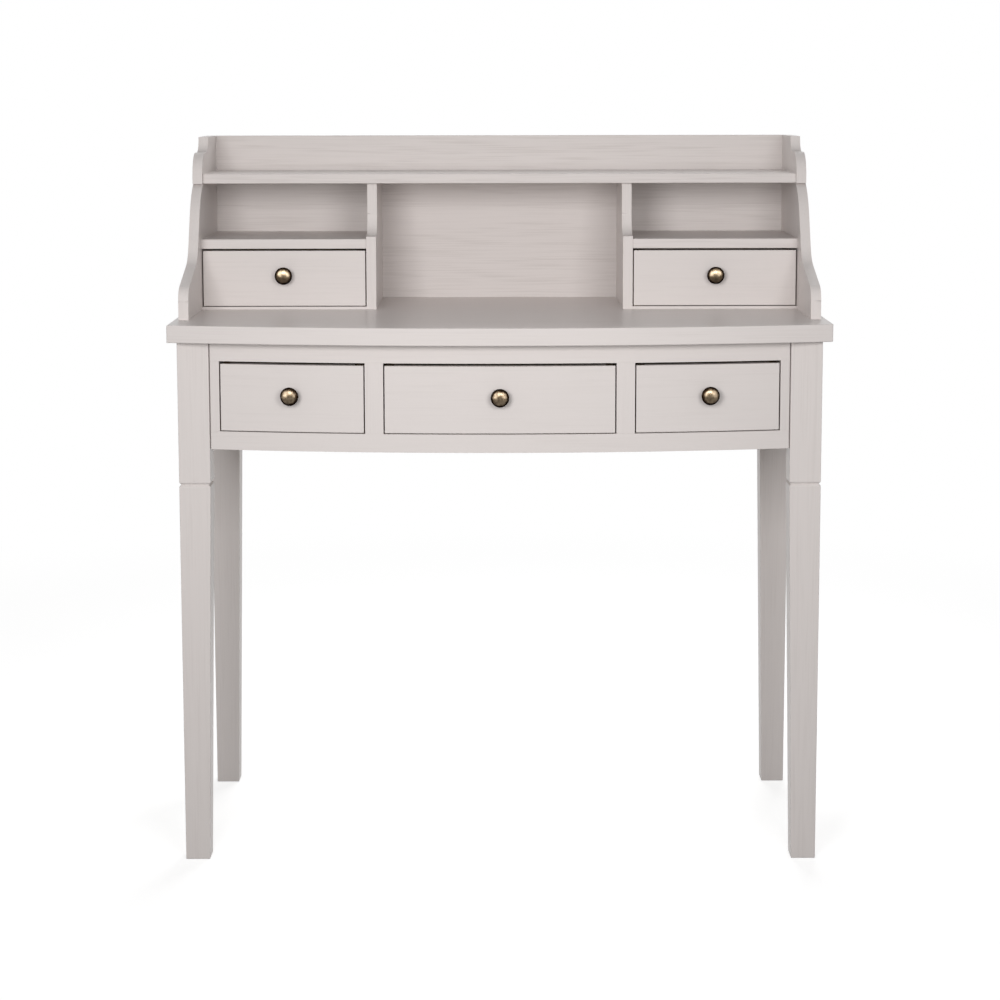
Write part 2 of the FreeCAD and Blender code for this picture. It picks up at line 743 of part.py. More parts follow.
# Drawers
class BowFace:
    """The drawer fronts of the desk follow the bow of the frame."""

    def knob_place(self, x):
        return bow_face_y(x), f"asin(({x}) / frame_radius)"

    def layer(self, name, x, z, near, far):
        return bow_layer(name, x, z, near, far)

    def behind(self, name, x, z, depth, back):
        return behind_bow(name, x, z, depth, back)


class FlatFace:
    """The drawer fronts of the hutch lie in one plane."""

    def __init__(self, plane):
        self.plane = plane

    def knob_place(self, x):
        return self.plane, "0"

    def layer(self, name, x, z, near, far):
        return board(name, x, (f"{self.plane} + {near}", f"{self.plane} + {far}"), z)

    def behind(self, name, x, z, depth, back):
        return board(name, x, (f"{self.plane} + {depth}", back), z)


def make_drawer(name, face, opening_x, opening_z, top_gap, back):
    """An inset drawer: the sides lap into the front, and the bottom lies in grooves and under the back."""
    low_x, high_x = f"{opening_x[0]} + side_gap", f"{opening_x[1]} - side_gap"
    inner_x = (f"{low_x} + drawer_side_thickness", f"{high_x} - drawer_side_thickness")
    front_z = (f"{opening_z[0]} + bottom_gap", f"{opening_z[1]} - {top_gap}")
    side_z = (f"{opening_z[0]} + running_clearance", f"{opening_z[1]} - drawer_headroom")
    bottom_low = f"{side_z[0]} + drawer_bottom_lift"
    bottom_z = (bottom_low, f"{bottom_low} + drawer_bottom_thickness")
    bottom_x = (f"{inner_x[0]} - drawer_bottom_bite", f"{inner_x[1]} + drawer_bottom_bite")

    middle_x = f"({opening_x[0]} + {opening_x[1]}) / 2"
    knob_y, angle = face.knob_place(middle_x)
    knob_z = f"({front_z[0]} + {front_z[1]}) / 2 + knob_rise"
    knob_screw = make_knob(f"{name}_knob", (middle_x, knob_y, knob_z), angle)

    bottom = face.behind(f"{name}_bottom", bottom_x, bottom_z, "front_thickness - drawer_bottom_bite", back)
    subpart(bottom, f"{name}_bottom")
    lap = face.layer(f"{name}_lap", (low_x, high_x), front_z, "0", "front_lap")
    core = face.layer(f"{name}_core", inner_x, front_z, "front_lap", "front_thickness")
    blank = join(f"{name}_front_blank", [lap, core])
    subpart(cut(f"{name}_front", blank, [bottom, knob_screw]), f"{name}_front")
    for word, x in (("left", (low_x, inner_x[0])), ("right", (inner_x[1], high_x))):
        side = face.behind(f"{name}_side_{word}_blank", x, side_z, "front_lap", back)
        subpart(cut(f"{name}_side_{word}", side, [bottom]), f"{name}_side_{word}")
    back_y = (f"{back} - drawer_side_thickness", back)
    subpart(board(f"{name}_back", inner_x, back_y, (bottom_z[1], side_z[1])), f"{name}_back")


def make_drawers():
    desk_z = ("opening_bottom_z", "opening_top_z")
    desk_back = "apron_inner_y - running_clearance"
    hutch_z = ("floor_top_z", "shelf_bottom_z")
    hutch_back = "panel_front_y - running_clearance"
    desk_x = ("-muntin_inner_x", "muntin_inner_x")
    make_drawer("middle_drawer", BowFace(), desk_x, desk_z, "desk_top_gap", desk_back)
    for word, side in SIDES:
        desk_x = on_side(side, "muntin_outer_x", "opening_outer_x")
        make_drawer(f"{word}_drawer", BowFace(), desk_x, desk_z, "desk_top_gap", desk_back)
        hutch_x = on_side(side, "divider_outer_x", "hutch_inner_x")
        face = FlatFace("hutch_front_y")
        make_drawer(f"hutch_{word}_drawer", face, hutch_x, hutch_z, "hutch_top_gap", hutch_back)


def make_desk():
    quirks = make_quirks()
    cutters = make_uprights(quirks) + list(quirks.values())
    rails = [
        make_rail("front_top_rail", "opening_top_z", "top_under_z", cutters),
        make_rail("front_bottom_rail", "apron_bottom_z", "opening_bottom_z", cutters),
    ]
    back_apron = make_back_apron()
    for word, side in SIDES:
        side_apron = make_side_apron(word, side)
        make_leg("front", word, side, rails + [side_apron])
        make_leg("back", word, side, [back_apron, side_apron])
    make_hutch(make_strips())
    make_drawers()


def check_and_write():
    """Stops at the first failed piece, and only then writes the files."""
    doc.recompute()
    for thing in doc.Objects:
        if "Invalid" in thing.State or "Error" in thing.State:
            raise RuntimeError(f"{thing.Label} failed: {thing.State}")
    for piece in subparts:
        if piece.Shape.isNull() or not piece.Shape.isValid() or not piece.Shape.Solids:
            raise RuntimeError(f"{piece.Label} has no sound solid")
    os.makedirs("parts", exist_ok=True)
    for piece in subparts:
        piece.Shape.exportStep(f"parts/{piece.Label}.step")
    print(len(subparts), "pieces written")


make_desk()
check_and_write()
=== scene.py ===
import math

import bmesh
import bpy
from mathutils import Matrix, Vector


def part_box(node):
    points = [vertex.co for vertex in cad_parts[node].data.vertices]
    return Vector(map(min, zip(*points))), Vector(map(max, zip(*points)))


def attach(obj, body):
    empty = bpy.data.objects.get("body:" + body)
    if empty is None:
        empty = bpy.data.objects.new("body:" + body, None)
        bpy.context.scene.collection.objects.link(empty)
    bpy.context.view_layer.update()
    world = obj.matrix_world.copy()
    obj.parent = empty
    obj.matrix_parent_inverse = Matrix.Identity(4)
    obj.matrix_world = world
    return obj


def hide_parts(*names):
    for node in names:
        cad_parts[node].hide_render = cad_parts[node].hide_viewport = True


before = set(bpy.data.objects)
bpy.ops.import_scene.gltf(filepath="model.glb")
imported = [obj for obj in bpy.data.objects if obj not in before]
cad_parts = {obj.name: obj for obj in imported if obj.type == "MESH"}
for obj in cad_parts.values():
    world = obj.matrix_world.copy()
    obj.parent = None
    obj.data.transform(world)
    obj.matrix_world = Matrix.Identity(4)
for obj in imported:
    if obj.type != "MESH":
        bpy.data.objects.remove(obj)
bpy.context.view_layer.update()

# A painted bow-front writing desk with a low hutch, finished for a plain studio picture.
# Metres, with lengths written in millimetres. The front faces -Y and +Z is up.

scene = bpy.context.scene
MM = 0.001

# The arc that the front frame and the desk drawers follow, about one upright axis
BOW_RADIUS = 2025 * MM
BOW_AXIS_Y = 1800 * MM

# How far the sharp edges are eased before painting
TOP_EASE = 1.6 * MM
HUTCH_EASE = 1.2 * MM
FRONT_EASE = 0.9 * MM
FRAME_EASE = 0.25 * MM
BOX_EASE = 0.6 * MM
LEG_EASE = 1.1 * MM
LEAST_EASED_EDGE = 3 * MM
SHARP_ANGLE = math.radians(30)

# Legs: square down to the groove, then tapered on the two inner faces
LEG_SIZE = 43 * MM
FOOT_WIDTH = 33.5 * MM
FOOT_DEPTH = 34 * MM
GROOVE_LEVEL = 528 * MM
GROOVE_HEIGHT = 5 * MM
GROOVE_DEPTH = 2.8 * MM

# Knobs, turned about their own axis, and the screws
KNOB_RADIUS = 12.5 * MM
KNOB_LENGTH = 24 * MM
KNOB_DOME = 9 * MM
KNOB_RIM = 3 * MM
KNOB_NECK = 5.5 * MM
KNOB_FOOT = 8 * MM
KNOB_FOOT_HEIGHT = 3 * MM
# How bright each knob's dome is: partly rubbed patina and partly painted light. The hutch knobs are set
# brighter to make up for the shade they reflect from the desk top.
DESK_KNOB_WEAR_AND_PAINTED_LIGHT = 0.75
HUTCH_KNOB_WEAR_AND_PAINTED_LIGHT = 1.05
FRONT_THICKNESS = 18 * MM
SCREW_HEAD_RADIUS = 4 * MM
SCREW_RADIUS = 2 * MM
WOOD_SCREW_HEAD = 2.4 * MM
KNOB_SCREW_HEAD = 2.5 * MM

DRAWERS = ("left_drawer", "middle_drawer", "right_drawer", "hutch_left_drawer", "hutch_right_drawer")


def linear(code):
    """An sRGB hex colour as linear red, green, blue and alpha."""
    channels = [int(code[place : place + 2], 16) / 255 for place in (1, 3, 5)]
    return [c / 12.92 if c <= 0.04045 else ((c + 0.055) / 1.055) ** 2.4 for c in channels] + [1.0]


def add_node(tree, kind, inputs=None, **settings):
    """Adds a node with its settings; each input is a plain value or the socket that feeds it."""
    made = tree.nodes.new(kind)
    for name, setting in settings.items():
        setattr(made, name, setting)
    for socket, given in (inputs or {}).items():
        if isinstance(given, bpy.types.NodeSocket):
            tree.links.new(given, made.inputs[socket])
        else:
            made.inputs[socket].default_value = given
    return made


def new_material(name):
    """A material with an empty tree, and the tree."""
    material = bpy.data.materials.new(name)
    material.use_nodes = True
    material.node_tree.nodes.clear()
    return material, material.node_tree


# Materials of wood
def grained_wood(name, along, face, furrow, depth, contrast, roughness, specular):
    """Wood with its grain along one axis, or round the bow: fine furrows, gathered along the arches of the
    year rings. The furrows are drawn about five times as wide as real pores, so that they show."""
    pore_length, pore_width = 90 * MM, 2.2 * MM
    pore_from, pore_to, late_wood_pores = 0.38, 0.72, 0.3
    arch_length, arch_width, arch_count = 600 * MM, 40 * MM, 8.0
    material, tree = new_material(name)
    place = add_node(tree, "ShaderNodeTexCoord").outputs["Object"]

    if along == "bow":
        from_axis = add_node(
            tree, "ShaderNodeVectorMath", {0: place, 1: (0, BOW_AXIS_Y, 0)}, operation="SUBTRACT"
        )
        flat = add_node(
            tree, "ShaderNodeVectorMath", {0: from_axis.outputs[0], 1: (1, 1, 0)}, operation="MULTIPLY"
        )
        radius = add_node(tree, "ShaderNodeVectorMath", {0: flat.outputs[0]}, operation="LENGTH")
        spot = add_node(tree, "ShaderNodeSeparateXYZ", {0: place})
        place = add_node(
            tree,
            "ShaderNodeCombineXYZ",
            {"X": spot.outputs["X"], "Y": radius.outputs["Value"], "Z": spot.outputs["Z"]},
        ).outputs[0]

    def stretch(length, width):
        return [1 / length if axis == ("X" if along == "bow" else along) else 1 / width for axis in "XYZ"]

    arch_place = add_node(
        tree, "ShaderNodeMapping", {"Vector": place, "Scale": stretch(arch_length, arch_width)}
    )
    arch_field = add_node(
        tree,
        "ShaderNodeTexNoise",
        {"Vector": arch_place.outputs[0], "Scale": 1.0, "Detail": 2.0, "Roughness": 0.4, "Distortion": 0.3},
    )
    ring = add_node(tree, "ShaderNodeMath", {0: arch_field.outputs[0], 1: arch_count}, operation="MULTIPLY")
    ring = add_node(tree, "ShaderNodeMath", {0: ring.outputs[0], 1: 0.5}, operation="PINGPONG")
    early = add_node(
        tree,
        "ShaderNodeMapRange",
        {0: ring.outputs[0], 1: 0.0, 2: 0.5, 3: 1.0, 4: late_wood_pores},
        interpolation_type="SMOOTHSTEP",
    )
    pore_place = add_node(
        tree, "ShaderNodeMapping", {"Vector": place, "Scale": stretch(pore_length, pore_width)}
    )
    pore_field = add_node(
        tree,
        "ShaderNodeTexNoise",
        {"Vector": pore_place.outputs[0], "Scale": 1.0, "Detail": 2.0, "Roughness": 0.5},
    )
    pore = add_node(
        tree,
        "ShaderNodeMapRange",
        {0: pore_field.outputs[0], 1: pore_from, 2: pore_to, 3: 0.0, 4: 1.0},
        interpolation_type="SMOOTHSTEP",
    )
    grain = add_node(
        tree, "ShaderNodeMath", {0: pore.outputs[0], 1: early.outputs[0]}, operation="MULTIPLY"
    )
    shown = add_node(
        tree, "ShaderNodeMath", {0: grain.outputs[0], 1: contrast}, operation="MULTIPLY", use_clamp=True
    )
    colour = add_node(
        tree, "ShaderNodeMix", {0: shown.outputs[0], 6: linear(face), 7: linear(furrow)}, data_type="RGBA"
    )
    hollow = add_node(
        tree,
        "ShaderNodeBump",
        {"Height": grain.outputs[0], "Strength": 0.6, "Distance": depth},
        invert=True,
    )
    shader = add_node(
        tree,
        "ShaderNodeBsdfPrincipled",
        {
            "Base Color": colour.outputs[2],
            "Roughness": roughness,
            "Specular IOR Level": specular,
            "Normal": hollow.outputs[0],
        },
    )
    add_node(tree, "ShaderNodeOutputMaterial", {0: shader.outputs[0]})
    return material


def painted_ash(name, along, depth, contrast, roughness):
    """Ash under a thin satin coat of warm grey paint: the grain still shows as faint furrows, more on some
    boards than on others."""
    return grained_wood(name, along, "#D8D1CE", "#C1B9B5", depth, contrast, roughness, 0.4)


def planed_pine(name, along):
    """Bare planed pine of the drawer boxes: pale and dry, with low contrast."""
    return grained_wood(name, along, "#D3B78F", "#B8925F", 0.15 * MM, 0.8, 0.62, 0.3)


paint = {
    way: painted_ash(f"painted ash, grain {way}", along, depth, contrast, roughness)
    for way, along, depth, contrast, roughness in (
        ("round the bow", "bow", 0.03 * MM, 0.14, 0.36),
        ("round the bow, rubbed", "bow", 0.03 * MM, 0.2, 0.3),
        ("crosswise, filled", "X", 0.03 * MM, 0.14, 0.36),
        ("crosswise, open", "X", 0.1 * MM, 0.44, 0.36),
        ("front to back", "Y", 0.08 * MM, 0.28, 0.36),
        ("upright", "Z", 0.055 * MM, 0.2, 0.36),
    )
}
pine = {along: planed_pine(f"planed pine, grain along {along}", along) for along in "XY"}
# Sanded plywood of the drawer bottoms, pale and even, and the hidden strips as sawn, darker and rough
thin_ply = grained_wood("birch plywood, sanded", "X", "#D8BF99", "#C2A276", 0.08 * MM, 0.6, 0.55, 0.3)
sawn_pine = grained_wood("sawn pine, bare", "Y", "#C4A47A", "#A07F55", 0.25 * MM, 0.8, 0.7, 0.25)


# Materials of metal
def antique_brass():
    """Brass darkened in a bath, then rubbed back and lacquered on the dome: brown-black at the rim, with
    bright glints on the dome. The dome's lighter colour is partly rubbing and partly painted light."""
    patina_size = 3.5 * MM
    least_rubbed, most_rubbed = -0.45, 0.15
    dark_roughness, rubbed_roughness = 0.42, 0.35
    material, tree = new_material("antique brass, rubbed back, with painted light")
    # The attribute holds the dome's lighter colour, partly rubbed patina and partly painted light.
    polish_and_painted_light = add_node(tree, "ShaderNodeAttribute", attribute_name="polish_and_painted_light")
    place = add_node(tree, "ShaderNodeTexCoord").outputs["Object"]
    patina = add_node(
        tree, "ShaderNodeTexNoise", {"Vector": place, "Scale": 1 / patina_size, "Detail": 3.0}
    )
    blotch = add_node(
        tree,
        "ShaderNodeMapRange",
        {0: patina.outputs[0], 1: 0.3, 2: 0.7, 3: least_rubbed, 4: most_rubbed},
    )
    worn_and_painted_light = add_node(
        tree,
        "ShaderNodeMath",
        {0: polish_and_painted_light.outputs["Fac"], 1: blotch.outputs[0]},
        operation="ADD",
        use_clamp=True,
    )
    # Dark patina to lighter brass. The lighter brass is partly painted light.
    colour = add_node(
        tree,
        "ShaderNodeMix",
        {0: worn_and_painted_light.outputs[0], 6: linear("#241A12"), 7: linear("#6C5C45")},
        data_type="RGBA",
    )
    gloss = add_node(
        tree,
        "ShaderNodeMapRange",
        {0: worn_and_painted_light.outputs[0], 1: 0.0, 2: 1.0, 3: dark_roughness, 4: rubbed_roughness},
    )
    shader = add_node(
        tree,
        "ShaderNodeBsdfPrincipled",
        {
            "Base Color": colour.outputs[2],
            "Metallic": 1.0,
            "Roughness": gloss.outputs[0],
            "Specular Tint": linear("#6B5339"),
            "Coat Weight": worn_and_painted_light.outputs[0],
            "Coat Roughness": 0.27,
        },
    )
    add_node(tree, "ShaderNodeOutputMaterial", {0: shader.outputs[0]})
    return material


def zinc_plate():
    """Zinc-plated steel of the screws: cool grey, slightly cloudy."""
    cloud_size = 1.5 * MM
    material, tree = new_material("zinc-plated steel")
    place = add_node(tree, "ShaderNodeTexCoord").outputs["Object"]
    cloud = add_node(tree, "ShaderNodeTexNoise", {"Vector": place, "Scale": 1 / cloud_size})
    gloss = add_node(tree, "ShaderNodeMapRange", {0: cloud.outputs[0], 1: 0.3, 2: 0.7, 3: 0.3, 4: 0.45})
    shader = add_node(
        tree,
        "ShaderNodeBsdfPrincipled",
        {"Base Color": linear("#B9B7B0"), "Metallic": 1.0, "Roughness": gloss.outputs[0]},
    )
    add_node(tree, "ShaderNodeOutputMaterial", {0: shader.outputs[0]})
    return material


brass = antique_brass()
zinc = zinc_plate()


# Finished pieces
def finished(name, mesh, material, body, nodes):
    """Puts a finished mesh in the scene, riding on its body in place of its solids."""
    mesh.materials.clear()
    mesh.materials.append(material)
    piece = bpy.data.objects.new(name, mesh)
    scene.collection.objects.link(piece)
    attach(piece, body)
    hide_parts(*nodes)
    return piece


def plain_mesh(carrier):
    """The mesh that an object's modifiers give, without the object."""
    graph = bpy.context.evaluated_depsgraph_get()
    mesh = bpy.data.meshes.new_from_object(carrier.evaluated_get(graph))
    bpy.data.objects.remove(carrier)
    return mesh


def ease_edges(carrier, width, limit):
    """A small round on the edges, with the flats shaded flat."""
    round_over = carrier.modifiers.new("ease", "BEVEL")
    round_over.width = width
    round_over.segments = 3
    round_over.limit_method = limit
    round_over.angle_limit = SHARP_ANGLE
    round_over.harden_normals = True


def eased_board(node, width, material, body):
    """A copy of a board's solid with its outer edges eased."""
    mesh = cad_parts[node].data.copy()
    board = bmesh.new()
    board.from_mesh(mesh)
    bmesh.ops.remove_doubles(board, verts=board.verts, dist=0.002 * MM)
    bmesh.ops.dissolve_limit(board, angle_limit=math.radians(0.3), verts=board.verts, edges=board.edges)
    weight = board.edges.layers.float.new("bevel_weight_edge")
    for face in board.faces:
        face.smooth = True
    for edge in board.edges:
        sharp = edge.is_manifold and edge.is_convex and edge.calc_face_angle() > SHARP_ANGLE
        if sharp and edge.calc_length() > LEAST_EASED_EDGE:
            edge[weight] = 1.0
        if not edge.is_manifold or edge.calc_face_angle() > SHARP_ANGLE:
            edge.smooth = False
    board.to_mesh(mesh)
    board.free()
    carrier = bpy.data.objects.new(f"{node}_stock", mesh)
    scene.collection.objects.link(carrier)
    ease_edges(carrier, width, "WEIGHT")
    return finished(f"{node}_finish", plain_mesh(carrier), material, body, [node])


# Shapes grown by rule
def new_tree(name, sizes):
    """An empty tree with inputs for the points that it starts from, for each size and for the finish."""
    tree = bpy.data.node_groups.new(name, "GeometryNodeTree")
    tree.interface.new_socket(name="Points", in_out="INPUT", socket_type="NodeSocketGeometry")
    for size in sizes:
        tree.interface.new_socket(name=size, in_out="INPUT", socket_type="NodeSocketFloat")
    tree.interface.new_socket(name="Finish", in_out="INPUT", socket_type="NodeSocketMaterial")
    tree.interface.new_socket(name="Geometry", in_out="OUTPUT", socket_type="NodeSocketGeometry")
    return tree, add_node(tree, "NodeGroupInput").outputs


def close_tree(tree, geometry, finish):
    """Ends a tree in plain geometry with its finish."""
    real = add_node(tree, "GeometryNodeRealizeInstances", {0: geometry})
    painted = add_node(tree, "GeometryNodeSetMaterial", {"Geometry": real.outputs[0], "Material": finish})
    add_node(tree, "NodeGroupOutput", {0: painted.outputs[0]})
    return tree


def grow(tree, points, finish, sizes, ease=0.0):
    """The plain mesh that a tree makes from its points, sizes and finish."""
    start = bpy.data.meshes.new(f"{tree.name}_start")
    start.from_pydata([tuple(point) for point in points], [], [])
    carrier = bpy.data.objects.new(f"{tree.name}_stock", start)
    scene.collection.objects.link(carrier)
    grown = carrier.modifiers.new("grow", "NODES")
    grown.node_group = tree
    given = dict(sizes, Finish=finish)
    for socket in tree.interface.items_tree:
        if socket.in_out == "INPUT" and socket.name in given:
            grown[socket.identifier] = given[socket.name]
    if ease:
        ease_edges(carrier, ease, "ANGLE")
    return plain_mesh(carrier)


def leg_tree():
    """A leg from five square levels: foot, below the groove, in the groove, above the groove, and top.
    The outer corner stays upright, and Side and Inwards say which way the inner faces lie."""
    sizes = (
        "Corner X",
        "Corner Y",
        "Side",
        "Inwards",
        "Leg size",
        "Foot width",
        "Foot depth",
        "Groove level",
        "Groove height",
        "Groove depth",
        "Leg height",
    )
    tree, size = new_tree("tapered_leg", sizes)
    block = add_node(
        tree,
        "GeometryNodeMeshCube",
        {"Size": (1, 1, 1), "Vertices X": 2, "Vertices Y": 2, "Vertices Z": 5},
    )
    corner = add_node(tree, "GeometryNodeInputPosition")
    corner = add_node(tree, "ShaderNodeSeparateXYZ", {0: corner.outputs[0]})
    half = add_node(tree, "ShaderNodeMath", {0: size["Groove height"], 1: 0.5}, operation="MULTIPLY")
    below = add_node(
        tree, "ShaderNodeMath", {0: size["Groove level"], 1: half.outputs[0]}, operation="SUBTRACT"
    )
    above = add_node(tree, "ShaderNodeMath", {0: size["Groove level"], 1: half.outputs[0]}, operation="ADD")
    level = add_node(
        tree, "ShaderNodeMath", {0: corner.outputs["Z"], 1: 4.0, 2: 2.0}, operation="MULTIPLY_ADD"
    )
    level = add_node(tree, "FunctionNodeFloatToInt", {0: level.outputs[0]}, rounding_mode="ROUND")
    by_level = {}
    for name, values in (
        ("height", (0.0, below.outputs[0], size["Groove level"], above.outputs[0], size["Leg height"])),
        ("width", (size["Foot width"],) + 4 * (size["Leg size"],)),
        ("depth", (size["Foot depth"],) + 4 * (size["Leg size"],)),
        ("inset", (0.0, 0.0, size["Groove depth"], 0.0, 0.0)),
    ):
        choice = add_node(tree, "GeometryNodeIndexSwitch", data_type="FLOAT")
        while len(choice.index_switch_items) < len(values):
            choice.index_switch_items.new()
        tree.links.new(level.outputs[0], choice.inputs[0])
        for number, given in enumerate(values, start=1):
            if isinstance(given, bpy.types.NodeSocket):
                tree.links.new(given, choice.inputs[number])
            else:
                choice.inputs[number].default_value = given
        by_level[name] = choice.outputs[0]
    inward_x = add_node(tree, "ShaderNodeMath", {0: size["Side"], 1: -1.0}, operation="MULTIPLY")
    places = []
    for axis, inward, span, start in (
        ("X", inward_x.outputs[0], by_level["width"], size["Corner X"]),
        ("Y", size["Inwards"], by_level["depth"], size["Corner Y"]),
    ):
        towards = add_node(
            tree, "ShaderNodeMath", {0: corner.outputs[axis], 1: inward}, operation="MULTIPLY"
        )
        inner = add_node(
            tree, "ShaderNodeMath", {0: towards.outputs[0], 1: 0.0}, operation="GREATER_THAN"
        )
        far = add_node(tree, "ShaderNodeMath", {0: span, 1: by_level["inset"]}, operation="SUBTRACT")
        reach = add_node(
            tree, "ShaderNodeMix", {0: inner.outputs[0], 2: by_level["inset"], 3: far.outputs[0]}
        )
        end = add_node(
            tree, "ShaderNodeMath", {0: reach.outputs[0], 1: inward, 2: start}, operation="MULTIPLY_ADD"
        )
        places.append(end.outputs[0])
    place = add_node(
        tree, "ShaderNodeCombineXYZ", {"X": places[0], "Y": places[1], "Z": by_level["height"]}
    )
    shaped = add_node(
        tree, "GeometryNodeSetPosition", {"Geometry": block.outputs[0], "Position": place.outputs[0]}
    )
    return close_tree(tree, shaped.outputs[0], size["Finish"])


def knob_outline():
    """Radius and height of the turned knob from the middle of its dome round to the edge of its foot."""
    dome_radius = (KNOB_RADIUS**2 + KNOB_DOME**2) / (2 * KNOB_DOME)
    dome_angle = math.asin(KNOB_RADIUS / dome_radius)
    dome_steps, rim_steps = 14, 6
    outline = []
    for step in range(dome_steps + 1):
        angle = dome_angle * step / dome_steps
        outline.append((dome_radius * math.sin(angle), KNOB_LENGTH - dome_radius * (1 - math.cos(angle))))
    rim_height = KNOB_LENGTH - KNOB_DOME
    for step in range(1, rim_steps + 1):
        angle = math.radians(90) * step / rim_steps
        radius = KNOB_RADIUS - KNOB_RIM + KNOB_RIM * math.cos(angle)
        outline.append((radius, rim_height - KNOB_RIM * math.sin(angle)))
    neck_height = rim_height - 2 * KNOB_RIM
    for step in range(1, rim_steps + 1):
        angle = math.radians(90) * step / rim_steps
        radius = KNOB_RADIUS - KNOB_RIM - (KNOB_RADIUS - KNOB_RIM - KNOB_NECK) * math.sin(angle)
        outline.append((radius, neck_height + KNOB_RIM * math.cos(angle)))
    outline.append((KNOB_NECK, KNOB_FOOT_HEIGHT))
    outline.append((KNOB_FOOT, KNOB_FOOT_HEIGHT / 3))
    outline.append((KNOB_FOOT, 0.0))
    return outline


def knob_tree():
    """A knob turned from an outline: a sheet is rolled round the knob's axis, which points to -Y before it
    gets its Turn. The last size is how bright the dome is, partly patina rubbed off and partly painted light."""
    tree, size = new_tree("turned_knob", ("Widest", "Longest", "Turn", "Wear and painted light"))
    outline = knob_outline()
    around = 64
    rubbed_and_lit_until, dark_from = 0.25, 0.39
    sheet = add_node(
        tree,
        "GeometryNodeMeshGrid",
        {"Size X": 1.0, "Size Y": 1.0, "Vertices X": len(outline), "Vertices Y": around + 1},
    )
    spot = add_node(tree, "GeometryNodeInputPosition")
    spot = add_node(tree, "ShaderNodeSeparateXYZ", {0: spot.outputs[0]})
    along = add_node(tree, "ShaderNodeMath", {0: spot.outputs["X"], 1: 0.5}, operation="ADD")
    angle = add_node(tree, "ShaderNodeMath", {0: spot.outputs["Y"], 1: math.tau}, operation="MULTIPLY")
    widest = max(radius for radius, height in outline)
    longest = max(height for radius, height in outline)
    shares = {
        "radius": [radius / widest for radius, height in outline],
        "height": [height / longest for radius, height in outline],
    }
    turned = {}
    for name, full in (("radius", size["Widest"]), ("height", size["Longest"])):
        curve = add_node(tree, "ShaderNodeFloatCurve", {"Value": along.outputs[0]})
        points = curve.mapping.curves[0].points
        while len(points) < len(outline):
            points.new(0.5, 0.5)
        for number, share in enumerate(shares[name]):
            points[number].location = (number / (len(outline) - 1), share)
            points[number].handle_type = "VECTOR"
        curve.mapping.update()
        real = add_node(tree, "ShaderNodeMath", {0: curve.outputs[0], 1: full}, operation="MULTIPLY")
        turned[name] = real.outputs[0]
    cosine = add_node(tree, "ShaderNodeMath", {0: angle.outputs[0]}, operation="COSINE")
    sine = add_node(tree, "ShaderNodeMath", {0: angle.outputs[0]}, operation="SINE")
    x = add_node(tree, "ShaderNodeMath", {0: turned["radius"], 1: cosine.outputs[0]}, operation="MULTIPLY")
    y = add_node(tree, "ShaderNodeMath", {0: turned["height"], 1: -1.0}, operation="MULTIPLY")
    z = add_node(tree, "ShaderNodeMath", {0: turned["radius"], 1: sine.outputs[0]}, operation="MULTIPLY")
    place = add_node(
        tree, "ShaderNodeCombineXYZ", {"X": x.outputs[0], "Y": y.outputs[0], "Z": z.outputs[0]}
    )
    # Full brightness on the middle of the dome, fading to none from the outer dome down to the foot. This is
    # partly rubbed patina and partly painted light.
    rubbed = add_node(
        tree,
        "ShaderNodeMapRange",
        {0: along.outputs[0], 1: rubbed_and_lit_until, 2: dark_from, 3: size["Wear and painted light"], 4: 0.0},
        interpolation_type="SMOOTHSTEP",
    )
    marked = add_node(
        tree,
        "GeometryNodeStoreNamedAttribute",
        {"Geometry": sheet.outputs[0], "Name": "polish_and_painted_light", "Value": rubbed.outputs[0]},
        data_type="FLOAT",
        domain="POINT",
    )
    rolled = add_node(
        tree, "GeometryNodeSetPosition", {"Geometry": marked.outputs[0], "Position": place.outputs[0]}
    )
    closed = add_node(
        tree, "GeometryNodeMergeByDistance", {"Geometry": rolled.outputs[0], "Distance": 0.001 * MM}
    )
    turn = add_node(tree, "ShaderNodeCombineXYZ", {"Z": size["Turn"]})
    placed = add_node(
        tree,
        "GeometryNodeInstanceOnPoints",
        {"Points": size["Points"], "Instance": closed.outputs[0], "Rotation": turn.outputs[0]},
    )
    return close_tree(tree, placed.outputs[0], size["Finish"])


